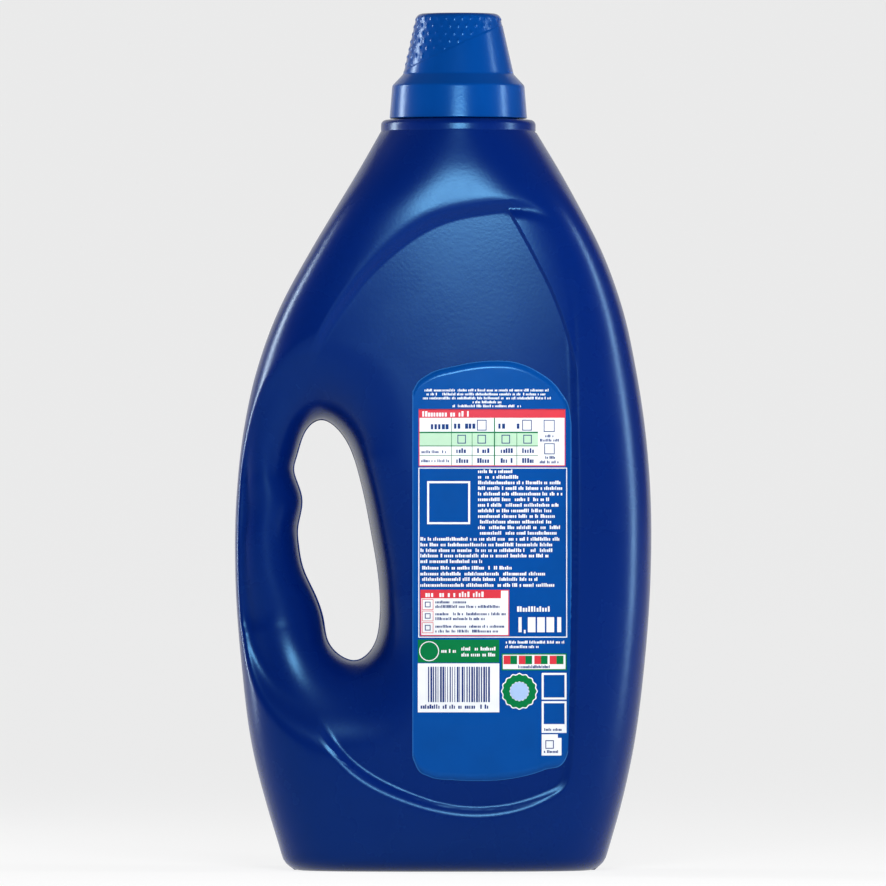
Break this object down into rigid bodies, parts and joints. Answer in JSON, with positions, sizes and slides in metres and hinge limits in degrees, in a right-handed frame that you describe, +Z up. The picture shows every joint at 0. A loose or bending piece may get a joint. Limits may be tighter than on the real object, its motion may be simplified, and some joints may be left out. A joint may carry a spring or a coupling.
{
  "type": "laundry detergent bottle",
  "caption": "Blown plastic laundry detergent bottle with an integral side handle, a film label on the back panel, a pouring insert and a screw cap that doses the liquid.",
  "frame": {"origin": "middle of the base, on the surface that the bottle stands on", "axes": "+Z up along the bottle, -Y out of the labelled back panel, -X towards the handle"},
  "size_m": [0.1483, 0.0612, 0.3045],
  "materials": {
    "bottle_plastic": "satin moulded polyethylene, navy blue",
    "cap_plastic": "moulded polypropylene, mid blue, satin skirt",
    "spout_plastic": "natural white polyethylene",
    "label_film": "printed gloss film in fields of colour",
    "detergent_gel": "clear blue liquid"
  },
  "bodies": {
    "bottle_body": {"bottle": "bottle_plastic", "detergent": "detergent_gel", "pour_spout": "spout_plastic", "back_label": "label_film"},
    "cap_body": {"cap": "cap_plastic"}
  },
  "joints": [
    {"name": "cap_lift", "type": "slide", "parent": "bottle_body", "child": "cap_body", "axis": [0, 0, 1], "range_m": [0, 0.06]}
  ]
}
